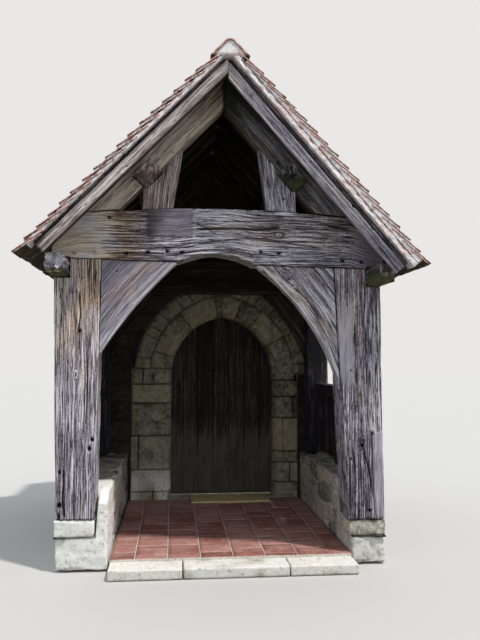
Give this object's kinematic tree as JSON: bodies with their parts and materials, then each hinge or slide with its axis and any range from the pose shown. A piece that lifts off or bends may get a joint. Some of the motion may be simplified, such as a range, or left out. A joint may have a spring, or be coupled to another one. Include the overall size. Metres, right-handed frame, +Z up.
{
  "type": "timber-framed church porch with doorway",
  "caption": "Oak-framed, plain-tiled gable porch on dwarf rubble walls, against a stone wall with a pointed doorway and a hinged plank door.",
  "frame": {"origin": "on the ground, on the porch's centre line, halfway along the tiled floor", "axes": "+X to the right as seen from the front, +Y from the open front to the stone wall, +Z up"},
  "size_m": [2.914, 3.209, 3.741],
  "materials": {
    "oak": "matte",
    "oak_shaded": "matte",
    "door_oak": "matte",
    "limestone": "matte",
    "rubble": "matte",
    "quarry_tile": "satin",
    "clay_tile": "matte",
    "mortar": "matte",
    "coir": "matte",
    "iron": "matte"
  },
  "bodies": {
    "porch": {"floor_bed": "quarry_tile", "front_kerb": "limestone", "left_dwarf_wall": "rubble", "right_dwarf_wall": "rubble", "padstones": "limestone", "left_front_post": "oak", "right_front_post": "oak", "rear_posts": "oak_shaded", "front_tie_beam": "oak", "rear_tie_beam": "oak_shaded", "left_arch_brace": "oak", "right_arch_brace": "oak", "rear_braces": "oak_shaded", "wall_plates": "oak", "purlins": "oak", "front_principals": "oak", "rear_principals": "oak_shaded", "front_struts": "oak", "rear_struts": "oak_shaded", "common_rafters": "oak_shaded", "left_barge_board": "oak", "right_barge_board": "oak", "verge_mortar": "mortar", "left_roof_tiles": "clay_tile", "right_roof_tiles": "clay_tile", "ridge_tiles": "clay_tile", "left_side_boards": "oak_shaded", "right_side_boards": "oak_shaded", "left_side_studs": "oak_shaded", "right_side_studs": "oak_shaded", "right_mid_rail": "oak_shaded", "wall_left_of_door": "rubble", "wall_right_of_door": "rubble", "wall_over_door": "rubble", "door_jambs": "limestone", "door_arch": "limestone", "outer_arch": "limestone", "inner_lintel": "oak_shaded", "door_sill": "limestone", "door_mat": "coir", "door_pintles": "iron"},
    "door": {"door_leaf": "door_oak", "door_ledges": "door_oak", "door_strap_hinges": "iron", "door_latch": "iron"}
  },
  "joints": [
    {"name": "door_hinge", "type": "hinge", "parent": "porch", "child": "door", "pos_m": [-0.4373, 1.36, 0.35], "axis": [0, 0, 1], "range_deg": [0, 90]}
  ]
}
